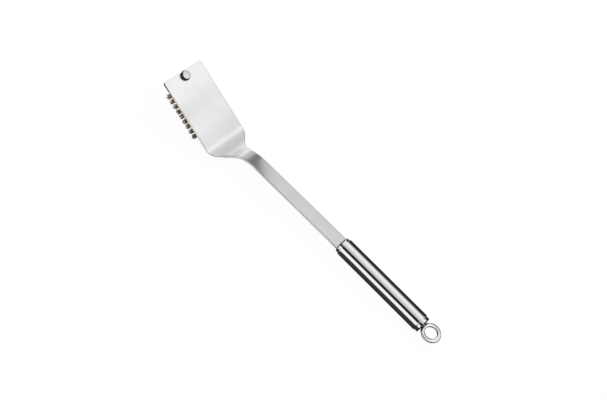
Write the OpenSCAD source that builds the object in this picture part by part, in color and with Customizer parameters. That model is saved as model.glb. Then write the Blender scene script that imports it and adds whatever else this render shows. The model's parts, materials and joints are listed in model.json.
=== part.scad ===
// Grill cleaning brush: a one-piece steel blade with a flat head plate, a
// cranked neck and a flat shaft, set in a round tube handle with a hanging
// ring, and a brass brush insert that slides on under the head plate and is
// clamped by a domed thumb nut.

/* [Blade] */
// Thickness of the steel the blade is made from
blade_t = 3.4; // [2.5:0.1:4]
// Width of the head plate
plate_w = 62.5; // [58:0.5:70]
// Length of the flat part of the head plate
plate_l = 97.5; // [95:0.5:105]
// Radius of the two front corners of the head plate
front_corner_r = 3; // [1:0.5:6]
// Radius of the two rear shoulders of the head plate
shoulder_r = 18; // [14:1:20]
// Radius of the hollow between shoulder and shaft
throat_r = 40; // [36:1:44]
// Angle between head plate and handle
plate_angle = 24; // [20:1:28]
// Width of the flat shaft
shaft_w = 19; // [17:0.5:19]
// Straight length of the shaft in front of the handle
shaft_l = 142; // [100:1:160]
// Drop of the shaft out of the handle's axis, in degrees
shaft_drop = 0.9; // [0:0.1:2]
// Angle of the neck below the handle's axis
neck_angle = 33; // [28:1:38]
// Straight length of the neck between its two bends
neck_l = 10.5; // [8:0.5:14]
// Centre-line radius of the upper, outward bend
upper_bend_r = 45; // [35:1:50]
// Centre-line radius of the lower, inward bend
lower_bend_r = 27; // [20:1:32]
// Length of the tang inside the handle
tang_l = 24; // [18:1:40]

/* [Handle] */
// Outside diameter of the handle tube
tube_d = 23; // [23:0.5:26]
// Wall of the handle tube
tube_wall = 1.2; // [1:0.1:1.5]
// Whole length of the handle with both end caps
handle_l = 137; // [110:1:170]
// Visible length of each end cap
cap_l = 4.8; // [4:0.2:8]
// Diameter of the end caps
cap_d = 20.9; // [20.8:0.1:22.6]
// Length of each cap's spigot inside the tube
spigot_l = 9; // [8:0.5:12]

/* [Hanging ring] */
// Radius of the hole in the ring
ring_hole_r = 7.7; // [7:0.1:9]
// Width of the ring's section, measured outwards
ring_bar_w = 5.2; // [4:0.1:6]
// Thickness of the ring's section
ring_bar_t = 4.2; // [3:0.1:5]
// Diameter of the flared root against the end cap
root_d = 14.2; // [12:0.1:16]
// Diameter of the stem that passes through the end cap
stem_d = 6; // [5:0.1:6]

/* [Brush insert] */
// Thickness of the insert's steel carrier plate
carrier_t = 1.5; // [1.2:0.1:2]
// Thickness of the bristle block
block_t = 7; // [6:0.5:9]
// Width of the bristle block
block_w = 48.4; // [48:0.2:52]
// Distance from the front edge of the plate to the bristle block
block_x = 13.5; // [13.5:0.1:14]
// Length of the bristle block
block_l = 66; // [66:0.1:66.4]
// Distance from the front edge of the plate to the first tuft
first_tuft_x = 18.3; // [18.1:0.1:18.4]
// Tuft spacing along a row
tuft_pitch = 7.25; // [7.1:0.05:7.25]
// Number of tufts in the outer row
tufts_long_row = 9; // [9:1:9]
// Spacing between the seven rows
row_pitch = 7; // [6.6:0.1:7]
// Diameter of a tuft where it leaves the block
tuft_root_d = 3.8; // [3.4:0.1:3.8]
// Diameter of a tuft at its tips
tuft_tip_d = 6.4; // [4:0.1:6.4]
// Height from the tuft tips to the top of the head plate
tip_depth = 26.5; // [21:0.5:30]
// Depth of the blind holes that hold the tufts
tuft_hole_depth = 5; // [4:0.1:5]

/* [Clamp nut] */
// Distance from the front edge of the plate to the nut's axis
nut_x = 6.4; // [5.5:0.1:7]
// Outside diameter of the thumb nut at its foot
nut_d = 13.2; // [12.4:0.1:14]
// Diameter of the thumb nut where its side meets the dome
nut_top_d = 10.6; // [10:0.1:11.2]
// Height of the nut with its dome
nut_h = 4.7; // [4.4:0.1:6]
// Height of the dome on top of the nut
dome_h = 0.8; // [0.6:0.1:1.2]
// Thickness of the lock washer
washer_t = 1.0; // [0.8:0.1:1.5]
// Diameter of the threaded stud
stud_d = 6; // [5:0.1:6]

/* [Hidden] */
$fn = 64;
eps = 0.01;

// ---- directions ----
// h is the angle by which the centre line falls on its way to the front
h0 = shaft_drop;
h1 = neck_angle;
h2 = -plate_angle;
hs = shaft_w / 2;
hp = plate_w / 2;
function along(h) = [-cos(h), -sin(h)];
function up_n(h) = [-sin(h), cos(h)];

// ---- centre line of the blade, in the handle's frame: [x, z] ----
a0 = [0, 0];
a1 = a0 + shaft_l * along(h0);
c1 = a1 - upper_bend_r * up_n(h0);
a2 = c1 + upper_bend_r * up_n(h1);
a3 = a2 + neck_l * along(h1);
c2 = a3 + lower_bend_r * up_n(h1);
a4 = c2 - lower_bend_r * up_n(h2);
a5 = a4 + plate_l * along(h2);
tang_end = a0 - tang_l * along(h0);

// lengths along the centre line from the handle's front end
s1 = shaft_l;
s2 = s1 + upper_bend_r * (h1 - h0) * PI / 180;
s3 = s2 + neck_l;
s4 = s3 + lower_bend_r * (h1 - h2) * PI / 180;
s5 = s4 + plate_l;

// point of the centre line at length s
function centre(s) =
    s <= s1 ? a0 + s * along(h0) :
    s <= s2 ? c1 + upper_bend_r * up_n(h0 + (s - s1) / upper_bend_r * 180 / PI) :
    s <= s3 ? a2 + (s - s2) * along(h1) :
    s <= s4 ? c2 - lower_bend_r * up_n(h1 - (s - s3) / lower_bend_r * 180 / PI) :
    a4 + (s - s4) * along(h2);

// heading at length s
function heading(s) =
    s <= s1 ? h0 :
    s <= s2 ? h0 + (s - s1) / upper_bend_r * 180 / PI :
    s <= s3 ? h1 :
    s <= s4 ? h1 - (s - s3) / lower_bend_r * 180 / PI : h2;

// half width of the blade at length s
k1y = hp - shoulder_r;
k2y = hs + throat_r;
kd = sqrt(pow(shoulder_r + throat_r, 2) - pow(k2y - k1y, 2));
k2s = s4 - kd;
kts = s4 - kd * shoulder_r / (shoulder_r + throat_r);
function half_w(s) =
    s <= k2s ? hs :
    s <= kts ? k2y - sqrt(max(0, pow(throat_r, 2) - pow(s - k2s, 2))) :
    s <= s4 ? k1y + sqrt(max(0, pow(shoulder_r, 2) - pow(s4 - s, 2))) :
    hp;

bend_steps = 16;
// stations along the bent part of the side profile
side_s = concat(
    [for (i = [0 : bend_steps]) s1 + (s2 - s1) * i / bend_steps],
    [for (i = [0 : bend_steps]) s3 + (s4 - s3) * i / bend_steps]);
function side_pt(s, k) = centre(s) + k * blade_t / 2 * up_n(heading(s));

// stations along the plan outline, and its points [x, y]
throat_steps = 14;
shoulder_steps = 14;
plan_side = concat(
    [[tang_end[0] + 5, hs], [centre(k2s)[0], hs]],
    [for (i = [1 : throat_steps]) let (s = k2s + (kts - k2s) * i / throat_steps) [centre(s)[0], half_w(s)]],
    [for (i = [1 : shoulder_steps]) let (a = asin((s4 - kts) / shoulder_r) * (1 - i / shoulder_steps), s = s4 - shoulder_r * sin(a)) [centre(s)[0], k1y + shoulder_r * cos(a)]],
    [for (i = [0 : 6]) let (a = i * 15, s = s5 - front_corner_r + front_corner_r * sin(a)) [centre(s)[0] - (i == 6 ? 3 : 0), hp - front_corner_r + front_corner_r * cos(a)]]);

// ---- the head plate's own frame: x from its front edge to the rear, z up from its top face ----
plate_o = a5 + blade_t / 2 * up_n(h2);
module on_plate() {
    translate([plate_o[0], 0, plate_o[1]]) rotate([0, plate_angle, 0]) children();
}

// ---- the handle ----
tube_r = tube_d / 2;
bore_r = tube_r - tube_wall;
spigot_r = bore_r - 0.02;
cap_r = cap_d / 2;

// ---- the ring ----
ring_r = ring_hole_r + ring_bar_w / 2;
ring_x = handle_l + ring_hole_r + ring_bar_w - 0.3;
bar_round = 1.3;

// ---- the insert, in the head plate's frame ----
seat_gap = 0.05;
carrier_top = -blade_t - seat_gap;
carrier_bot = carrier_top - carrier_t;
block_bot = carrier_bot - block_t;
tongue_w = 18;
tongue_end = 89.5;
hook_t = 1.5;
hook_gap = 0.1;
short_row = tufts_long_row - 1;
last_tuft_x = first_tuft_x + (tufts_long_row - 1) * tuft_pitch;
screw_x = [first_tuft_x - 1.2, last_tuft_x + 0.4];
screw_y = 2 * row_pitch;
staple_l = 5.2;
staple_w = 0.8;
staple_h = 0.6;
thread_gap = 0.04;

// ---- how the brush lies on a table: rear tuft tips and rear end of the tube touch it ----
tip_pt = plate_o - (last_tuft_x + tuft_tip_d / 2) * along(h2) - tip_depth * up_n(h2);
tail_pt = [handle_l - cap_l, -tube_r];
tilt = atan2(tail_pt[1] - tip_pt[1], tail_pt[0] - tip_pt[0]);
function turned(p) = [p[0] * cos(tilt) + p[1] * sin(tilt), -p[0] * sin(tilt) + p[1] * cos(tilt)];
low_z = turned(tip_pt)[1];
x_front = min(turned(a5 - blade_t / 2 * up_n(h2))[0], turned(plate_o)[0]);
x_rear = turned([ring_x + ring_r + ring_bar_w / 2, ring_bar_t / 2 - bar_round])[0];
module lay_down() {
    translate([-(x_front + x_rear) / 2, 0, -low_z]) rotate([0, tilt, 0]) children();
}

// One forging: head plate, cranked neck, flat shaft and tang
module blade() {
    color("silver") lay_down() difference() {
        intersection() {
            // side profile, swept across the whole width
            translate([0, hp + 5, 0]) rotate([90, 0, 0]) linear_extrude(height = plate_w + 10)
                polygon(concat(
                    [tang_end + blade_t / 2 * up_n(h0)],
                    [for (s = side_s) side_pt(s, 1)],
                    [side_pt(s5, 1), side_pt(s5, -1)],
                    [for (i = [len(side_s) - 1 : -1 : 0]) side_pt(side_s[i], -1)],
                    [tang_end - blade_t / 2 * up_n(h0)]));
            // plan outline
            translate([0, 0, -80]) linear_extrude(height = 160)
                polygon(concat(plan_side, [for (i = [len(plan_side) - 1 : -1 : 0]) [plan_side[i][0], -plan_side[i][1]]]));
        }
        // open slot for the insert's stud
        on_plate() translate([nut_x, 0, -blade_t - 1]) {
            cylinder(r = stud_d / 2 + 0.2, h = blade_t + 2);
            translate([-nut_x - 5, -stud_d / 2 - 0.2, 0]) cube([nut_x + 5, stud_d + 0.4, blade_t + 2]);
        }
    }
}

// Z-shaped bracket welded under the head plate; its lip carries the insert's tongue
module rear_hook() {
    z_lip = carrier_bot - hook_gap;
    color("silver") lay_down() on_plate() {
        translate([0, 11, 0]) rotate([90, 0, 0]) linear_extrude(height = 22)
            polygon([[83, z_lip], [tongue_end + 0.2, z_lip], [tongue_end + 0.2, -blade_t], [96.8, -blade_t],
                [96.8, -blade_t - hook_t], [tongue_end + 0.2 + hook_t, -blade_t - hook_t],
                [tongue_end + 0.2 + hook_t, z_lip - hook_t], [83, z_lip - hook_t], [82, z_lip - hook_t - 0.4],
                [81.6, z_lip - hook_t + 0.6]]);
    }
}

// profile of an end cap: flange outside, spigot inside the tube
module cap_body(spigot) {
    rotate_extrude($fn = 96) polygon([[0, 0], [cap_r - 1, 0], [cap_r - 0.3, 0.3], [cap_r, 1], [cap_r, cap_l],
        [spigot_r, cap_l], [spigot_r, cap_l + spigot - 0.5], [spigot_r - 0.5, cap_l + spigot], [0, cap_l + spigot]]);
}

// Front end cap with the slot for the tang
module front_cap() {
    color("lightgray") lay_down() difference() {
        rotate([0, 90, 0]) cap_body(spigot_l);
        rotate([0, shaft_drop * -1, 0]) translate([-2, -hs - 0.05, -blade_t / 2 - 0.05])
            cube([cap_l + spigot_l + 6, shaft_w + 0.1, blade_t + 0.1]);
    }
}

// Round tube
module handle_tube() {
    color("gainsboro") lay_down() translate([cap_l, 0, 0]) rotate([0, 90, 0])
        rotate_extrude($fn = 96) polygon([[bore_r, 0], [tube_r - 0.4, 0], [tube_r, 0.4],
            [tube_r, handle_l - 2 * cap_l - 0.4], [tube_r - 0.4, handle_l - 2 * cap_l], [bore_r, handle_l - 2 * cap_l]]);
}

// Rear end cap: hollow spigot, hole for the ring's stem
module rear_cap() {
    color("lightgray") lay_down() translate([handle_l, 0, 0]) rotate([0, -90, 0]) difference() {
        cap_body(spigot_l);
        translate([0, 0, -1]) cylinder(r = stem_d / 2 + 0.05, h = cap_l + 2);
        translate([0, 0, cap_l]) cylinder(r = spigot_r - 2.2, h = spigot_l + 1);
    }
}

// section of the ring: a bar with rounded corners
module bar_section() {
    w = ring_bar_w / 2; t = ring_bar_t / 2; r = bar_round;
    translate([-w + r, -t]) square([2 * (w - r), 2 * t]);
    translate([-w, -t + r]) square([2 * w, 2 * (t - r)]);
    for (a = [-1, 1], b = [-1, 1]) translate([a * (w - r), b * (t - r)]) circle(r = r, $fn = 32);
}

// Hanging ring with flared root and stem
module hanging_ring() {
    color("silver") lay_down() union() {
        translate([ring_x, 0, 0]) rotate_extrude($fn = 96) translate([ring_r, 0]) bar_section();
        difference() {
            union() {
                // flat web between end cap and ring
                translate([0, 0, -ring_bar_t / 2]) linear_extrude(height = ring_bar_t)
                    polygon([[handle_l, -root_d / 2], [handle_l, root_d / 2], [handle_l + 1, root_d / 2 + 0.2], [handle_l + 2.4, root_d / 2 + 1.3],
                        [handle_l + 2.4, -root_d / 2 - 1.3], [handle_l + 1, -root_d / 2 - 0.2]]);
                // round boss against the end cap
                translate([handle_l, 0, 0]) rotate([0, 90, 0]) cylinder(r1 = root_d / 2 - 1.6, r2 = ring_bar_t / 2 + 1, h = 1.2);
            }
            translate([ring_x, 0, -20]) cylinder(r = ring_r, h = 40);
        }
        translate([handle_l - cap_l - 8.2, 0, 0]) rotate([0, 90, 0]) cylinder(r = stem_d / 2, h = cap_l + 8.2 + 1.5);
    }
}

// Hex nut that holds the ring's stem inside the rear cap
module ring_nut() {
    color("dimgray") lay_down() translate([handle_l - cap_l - 5, 0, 0]) rotate([0, 90, 0]) difference() {
        cylinder(r = 5.77, h = 5, $fn = 6);
        translate([0, 0, -1]) cylinder(r = stem_d / 2 + 0.02, h = 7);
    }
}

// positions of the tufts of row n (1 to 7), in the head plate's frame
function row_y(n) = (n - 4) * row_pitch;
function row_x(n) = n % 2 == 1
    ? [for (i = [0 : tufts_long_row - 1]) first_tuft_x + i * tuft_pitch]
    : [for (i = [0 : short_row - 1]) first_tuft_x + (i + 0.5) * tuft_pitch];

// anchor wire of one tuft
module staple(grow = 0) {
    translate([-staple_l / 2 - grow, -staple_w / 2 - grow, block_bot + tuft_hole_depth - 1.6 - grow])
        cube([staple_l + 2 * grow, staple_w + 2 * grow, staple_h + 2 * grow]);
}

// Steel plate that carries the block, with a rear tongue
module carrier_plate() {
    color("slategray") lay_down() on_plate() difference() {
        translate([0, 0, carrier_bot]) linear_extrude(height = carrier_t) union() {
            translate([4.2, -block_w / 2]) square([block_x + block_l - 6.2, block_w]);
            translate([1.2, -block_w / 2 + 3]) square([block_x + block_l - 1.2, block_w - 6]);
            for (y = [-1, 1]) {
                translate([4.2, y * (block_w / 2 - 3)]) circle(r = 3);
                translate([block_x + block_l - 2, y * (block_w / 2 - 2)]) circle(r = 2);
            }
            translate([block_x + block_l - 3, -block_w / 2 + 2]) square([3, block_w - 4]);
            translate([block_x + block_l - 2, -tongue_w / 2]) square([tongue_end - block_x - block_l + 2, tongue_w]);
        }
        translate([nut_x, 0, carrier_bot - 1]) cylinder(r = stud_d / 2 + 0.01, h = carrier_t + 2);
        for (x = screw_x, y = [-1, 1]) translate([x, y * screw_y, carrier_bot]) {
            translate([0, 0, -1]) cylinder(r = 1.35, h = carrier_t + 2);
            translate([0, 0, carrier_t - 1.3]) cylinder(r1 = 1.35, r2 = 2.65, h = 1.3);
            translate([0, 0, carrier_t - eps]) cylinder(r = 2.65, h = 1);
        }
    }
}

// Threaded stud, swaged into the carrier plate from below
module mount_stud() {
    color("gray") lay_down() on_plate() translate([nut_x, 0, 0]) {
        translate([0, 0, carrier_bot - 1.2]) cylinder(r = stud_d / 2 + 1.4, h = 1.2);
        translate([0, 0, carrier_bot - 0.2]) cylinder(r = stud_d / 2, h = -carrier_bot + 0.2 + washer_t + nut_h - 1.5);
    }
}

// Block that holds the tufts
module bristle_block() {
    color([0.12, 0.12, 0.13]) lay_down() on_plate() difference() {
        translate([0, 0, block_bot]) linear_extrude(height = block_t) union() {
            translate([block_x + 3, -block_w / 2]) square([block_l - 6, block_w]);
            translate([block_x, -block_w / 2 + 3]) square([block_l, block_w - 6]);
            for (x = [block_x + 3, block_x + block_l - 3], y = [-1, 1]) translate([x, y * (block_w / 2 - 3)]) circle(r = 3);
        }
        for (n = [1 : 7], x = row_x(n)) translate([x, row_y(n), 0]) {
            translate([0, 0, block_bot - 1]) cylinder(r = tuft_root_d / 2, h = tuft_hole_depth + 1);
            staple(0.01);
        }
        for (x = screw_x, y = [-1, 1]) translate([x, y * screw_y, carrier_bot - 4.2]) cylinder(r = 1.3, h = 5);
    }
}

// Countersunk screws between carrier plate and block
module block_screws() {
    color("gray") lay_down() on_plate() for (x = screw_x, y = [-1, 1]) translate([x, y * screw_y, 0]) {
        translate([0, 0, carrier_bot - 4]) cylinder(r = 1.28, h = 4 + carrier_t - 1.3 + eps);
        translate([0, 0, carrier_top - 1.3]) cylinder(r1 = 1.28, r2 = 2.6, h = 1.25);
    }
}

// Anchor wires that hold the folded tufts in the block
module tuft_staples() {
    color("goldenrod") lay_down() on_plate() for (n = [1 : 7], x = row_x(n)) translate([x, row_y(n), 0]) staple();
}

// One row of tufts
module tuft_row(n) {
    color([0.78, 0.58, 0.28]) lay_down() on_plate() for (x = row_x(n)) translate([x, row_y(n), 0]) difference() {
        union() {
            translate([0, 0, block_bot - eps]) cylinder(r = tuft_root_d / 2 - 0.02, h = tuft_hole_depth, $fn = 32);
            translate([0, 0, -tip_depth]) cylinder(r1 = tuft_tip_d / 2, r2 = tuft_root_d / 2 - 0.02, h = tip_depth + block_bot, $fn = 32);
        }
        staple(0.02);
    }
}
module bristle_row_1() { tuft_row(1); }
module bristle_row_2() { tuft_row(2); }
module bristle_row_3() { tuft_row(3); }
module bristle_row_4() { tuft_row(4); }
module bristle_row_5() { tuft_row(5); }
module bristle_row_6() { tuft_row(6); }
module bristle_row_7() { tuft_row(7); }

// Spring washer held captive under the nut
module lock_washer() {
    color("gray") lay_down() on_plate() translate([nut_x, 0, 0.02]) difference() {
        cylinder(r = stud_d / 2 + 2.7, h = washer_t - 0.04);
        translate([0, 0, -1]) cylinder(r = stud_d / 2 + 0.1, h = washer_t + 2);
    }
}

// Round thumb nut with a sloping fluted side and a low polished dome
side_h = nut_h - dome_h - 0.4;
dome_edge_r = nut_top_d / 2 - 0.4;
dome_r = (dome_edge_r * dome_edge_r + dome_h * dome_h) / (2 * dome_h);
side_slope = atan((nut_d - nut_top_d) / 2 / side_h);
module thumb_nut() {
    color("whitesmoke") lay_down() on_plate() translate([nut_x, 0, washer_t]) difference() {
        union() {
            cylinder(r1 = nut_d / 2, r2 = nut_top_d / 2, h = side_h);
            translate([0, 0, side_h]) cylinder(r1 = nut_top_d / 2, r2 = dome_edge_r, h = 0.4);
            intersection() {
                translate([0, 0, nut_h - dome_r]) sphere(r = dome_r, $fn = 96);
                translate([0, 0, nut_h - dome_h - 0.2]) cylinder(r = dome_edge_r, h = dome_h + 1);
            }
        }
        translate([0, 0, -1]) cylinder(r = stud_d / 2 + thread_gap, h = nut_h - 1.2 + 1);
        for (i = [0 : 23]) rotate([0, 0, i * 15]) translate([nut_d / 2 + 0.1, 0, 0]) rotate([0, -side_slope, 0])
            translate([0, 0, -1]) cylinder(r = 0.42, h = side_h + 1.6, $fn = 16);
    }
}

blade();
rear_hook();
front_cap();
handle_tube();
rear_cap();
hanging_ring();
ring_nut();
carrier_plate();
mount_stud();
bristle_block();
block_screws();
tuft_staples();
bristle_row_1();
bristle_row_2();
bristle_row_3();
bristle_row_4();
bristle_row_5();
bristle_row_6();
bristle_row_7();
lock_washer();
thumb_nut();
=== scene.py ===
import json
import math
import random

import bmesh
import bpy
import numpy as np
from mathutils import Matrix, Vector


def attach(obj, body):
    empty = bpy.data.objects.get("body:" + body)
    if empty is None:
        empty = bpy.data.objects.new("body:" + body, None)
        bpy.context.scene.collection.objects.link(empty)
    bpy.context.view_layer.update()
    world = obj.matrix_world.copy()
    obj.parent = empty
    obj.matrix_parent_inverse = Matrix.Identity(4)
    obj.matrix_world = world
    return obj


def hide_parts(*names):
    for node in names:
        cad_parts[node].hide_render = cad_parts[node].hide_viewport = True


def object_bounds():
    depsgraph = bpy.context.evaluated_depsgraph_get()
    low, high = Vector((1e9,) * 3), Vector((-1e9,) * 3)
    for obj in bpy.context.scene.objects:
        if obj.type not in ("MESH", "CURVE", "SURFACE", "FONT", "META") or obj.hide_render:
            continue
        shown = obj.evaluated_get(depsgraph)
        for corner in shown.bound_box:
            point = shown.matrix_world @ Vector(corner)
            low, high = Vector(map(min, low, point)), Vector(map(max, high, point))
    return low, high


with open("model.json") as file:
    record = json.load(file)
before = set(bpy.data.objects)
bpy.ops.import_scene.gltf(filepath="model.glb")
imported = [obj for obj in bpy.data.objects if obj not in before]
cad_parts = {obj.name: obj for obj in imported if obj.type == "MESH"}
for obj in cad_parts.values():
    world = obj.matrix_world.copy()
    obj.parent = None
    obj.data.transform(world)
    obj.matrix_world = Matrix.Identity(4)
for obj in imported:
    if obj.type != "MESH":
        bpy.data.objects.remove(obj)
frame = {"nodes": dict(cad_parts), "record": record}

cad_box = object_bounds()
cad_box = [list(cad_box[0]), list(cad_box[1])]
random.seed(11)
rng = np.random.default_rng(11)
MM = 0.001

record = frame["record"]
joints = {j["name"]: j for j in record["behaviour"]["joints"]}
mounts = {m["name"]: m for m in record["mounts"]}

# ---------------------------------------------------------------- sizes, in mm, as the CAD model has them
BLADE_T = 3.4
PLATE_W, PLATE_L = 62.5, 97.5
CORNER_R, SHOULDER_R, THROAT_R = 3.0, 18.0, 40.0
SHAFT_W, SHAFT_L, TANG_L = 19.0, 142.0, 24.0
H0, H1, H2 = (math.radians(a) for a in (0.9, 33.0, -24.0))
R_UP, R_LOW, NECK_L = 45.0, 27.0, 10.5
TUBE_R, TUBE_WALL, HANDLE_L, CAP_L, CAP_R, SPIGOT = 11.5, 1.2, 137.0, 4.8, 10.45, 9.0
HOLE_R, BAR_W, BAR_T, ROOT_D, STEM_R = 7.7, 5.2, 4.2, 14.2, 3.0
RING_R = HOLE_R + BAR_W / 2
RING_X = HANDLE_L + HOLE_R + BAR_W - 0.3
NUT_X, NUT_R, NUT_TOP_R, NUT_H, DOME_H, WASHER_T, STUD_R = 6.4, 6.6, 5.3, 4.7, 0.8, 1.0, 3.0
CARRIER_T, BLOCK_T, BLOCK_W, BLOCK_X, BLOCK_L = 1.5, 7.0, 48.4, 13.5, 66.0
CARRIER_TOP = -BLADE_T - 0.05
CARRIER_BOT = CARRIER_TOP - CARRIER_T
BLOCK_BOT = CARRIER_BOT - BLOCK_T
TUFT_X, PITCH, LONG_ROW, ROW_PITCH = 18.3, 7.25, 9, 7.0
TUFT_ROOT_R, TUFT_TIP_R, TIP_DEPTH = 1.9, 3.2, 26.5
TONGUE_END, HOOK_T = 89.5, 1.5


class Place:
    """A local frame in mm, placed in the row frame in metres."""

    def __init__(self, origin, x, z):
        self.o = np.array(origin, float)
        self.x = np.array(x, float) / np.linalg.norm(x)
        self.z = np.array(z, float) / np.linalg.norm(z)
        self.y = np.cross(self.z, self.x)
        self.r = np.stack([self.x, self.y, self.z])

    def out(self, p):
        return self.o + (np.asarray(p, float) @ self.r) * MM

    def back(self, q):
        return ((np.asarray(q, float) - self.o) @ self.r.T) / MM


_up = np.array(mounts["hang_hole"]["axis"], float)
_hx = np.array([_up[2], 0, -_up[0]])
HANDLE = Place(np.array(mounts["hang_hole"]["pos_m"]) - _hx * RING_X * MM, _hx, _up)
_nx = -np.array(joints["insert_slide"]["axis"], float)
PLATE = Place(np.array(joints["nut_turn"]["pos_m"]) - _nx * NUT_X * MM, _nx, joints["washer_lift"]["axis"])


# ---------------------------------------------------------------- mesh helpers
def make(name, verts, faces, place, material, angle=35):
    me = bpy.data.meshes.new(name)
    me.from_pydata([tuple(p) for p in place.out(verts)], [], [tuple(f) for f in faces])
    me.validate()
    o = bpy.data.objects.new(name, me)
    bpy.context.scene.collection.objects.link(o)
    o["place"] = "handle" if place is HANDLE else "plate"
    bm = bmesh.new()
    bm.from_mesh(me)
    bmesh.ops.recalc_face_normals(bm, faces=bm.faces)
    bm.to_mesh(me)
    bm.free()
    me.materials.append(material)
    shade(o, angle)
    return o


def shade(o, angle=35):
    me = o.data
    for p in me.polygons:
        p.use_smooth = True
    me.set_sharp_from_angle(angle=math.radians(angle))


def applied(o):
    """Applies the object's modifiers."""
    dg = bpy.context.evaluated_depsgraph_get()
    me = bpy.data.meshes.new_from_object(o.evaluated_get(dg))
    o.modifiers.clear()
    o.data = me
    return o


def cut(o, *tools, join=False):
    for t in tools:
        m = o.modifiers.new("cut", "BOOLEAN")
        m.operation = "UNION" if join else "DIFFERENCE"
        m.solver = "EXACT"
        m.object = t
    bpy.context.view_layer.update()
    applied(o)
    for t in tools:
        bpy.data.objects.remove(t)
    return o


def settle(o):
    """Stores each point's place in its own frame, which the materials' grain follows."""
    place = HANDLE if o["place"] == "handle" else PLATE
    me = o.data
    co = np.zeros(len(me.vertices) * 3)
    me.vertices.foreach_get("co", co)
    loc = place.back(co.reshape(-1, 3)) * MM
    a = me.attributes.get("loc") or me.attributes.new("loc", "FLOAT_VECTOR", "POINT")
    a.data.foreach_set("vector", loc.astype(np.float32).ravel())


def joined(name, parts):
    """One object from several, by mesh data alone."""
    bm = bmesh.new()
    for p in parts:
        bm.from_mesh(p.data)
    first = parts[0]
    me = bpy.data.meshes.new(name)
    bm.to_mesh(me)
    bm.free()
    me.materials.append(first.data.materials[0])
    o = bpy.data.objects.new(name, me)
    bpy.context.scene.collection.objects.link(o)
    o["place"] = first["place"]
    for p in parts:
        bpy.data.objects.remove(p)
    shade(o)
    return o


def lathe(name, profile, place, material, axis="x", centre=(0, 0, 0), n=160, radius=None, angle=35):
    """Turns a profile of (radius, height) points about an axis. radius(theta, r, h) may reshape it."""
    verts, rings = [], []
    for r, h in profile:
        if r < 1e-6:
            rings.append([len(verts)])
            verts.append((0.0, 0.0, h))
        else:
            ring = []
            for i in range(n):
                a = 2 * math.pi * i / n
                q = radius(a, r, h) if radius else r
                ring.append(len(verts))
                verts.append((q * math.cos(a), q * math.sin(a), h))
            rings.append(ring)
    faces = []
    closed = profile[0][0] > 1e-6 and profile[-1][0] > 1e-6
    for k in range(len(rings) - (0 if closed else 1)):
        a, b = rings[k], rings[(k + 1) % len(rings)]
        if len(a) == 1 and len(b) == 1:
            continue
        for i in range(n):
            j = (i + 1) % n
            if len(a) == 1:
                faces.append((a[0], b[i], b[j]))
            elif len(b) == 1:
                faces.append((a[i], a[j], b[0]))
            else:
                faces.append((a[i], a[j], b[j], b[i]))
    v = np.array(verts)
    if axis == "x":
        v = np.stack([v[:, 2], v[:, 1], -v[:, 0]], 1)
    return make(name, v + np.array(centre), faces, place, material, angle)


def arc(cx, cy, r, a0, a1, n):
    return [(cx + r * math.cos(math.radians(a0 + (a1 - a0) * i / n)), cy + r * math.sin(math.radians(a0 + (a1 - a0) * i / n))) for i in range(n + 1)]


def prism(name, outline, lo, hi, place, material, bevel=0.3, along="z", segments=3, angle=35):
    """Extrudes an outline, then rounds its edges."""
    n = len(outline)
    verts = [(p[0], p[1], lo) for p in outline] + [(p[0], p[1], hi) for p in outline]
    if along == "y":
        verts = [(p[0], h, p[1]) for p, h in [(q, lo) for q in outline] + [(q, hi) for q in outline]]
    faces = [list(range(n)), list(range(n, 2 * n))] + [(i, (i + 1) % n, n + (i + 1) % n, n + i) for i in range(n)]
    o = make(name, np.array(verts), faces, place, material, angle)
    if bevel:
        m = o.modifiers.new("round", "BEVEL")
        m.width = bevel * MM
        m.segments = segments
        m.limit_method = "ANGLE"
        m.angle_limit = math.radians(32)
        bpy.context.view_layer.update()
        applied(o)
        shade(o, angle)
    return o


def round_rect(x0, x1, y0, y1, r, n=8):
    pts = []
    for cx, cy, a in ((x1 - r, y1 - r, 0), (x0 + r, y1 - r, 90), (x0 + r, y0 + r, 180), (x1 - r, y0 + r, 270)):
        pts += arc(cx, cy, r, a, a + 90, n)
    return pts


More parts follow.
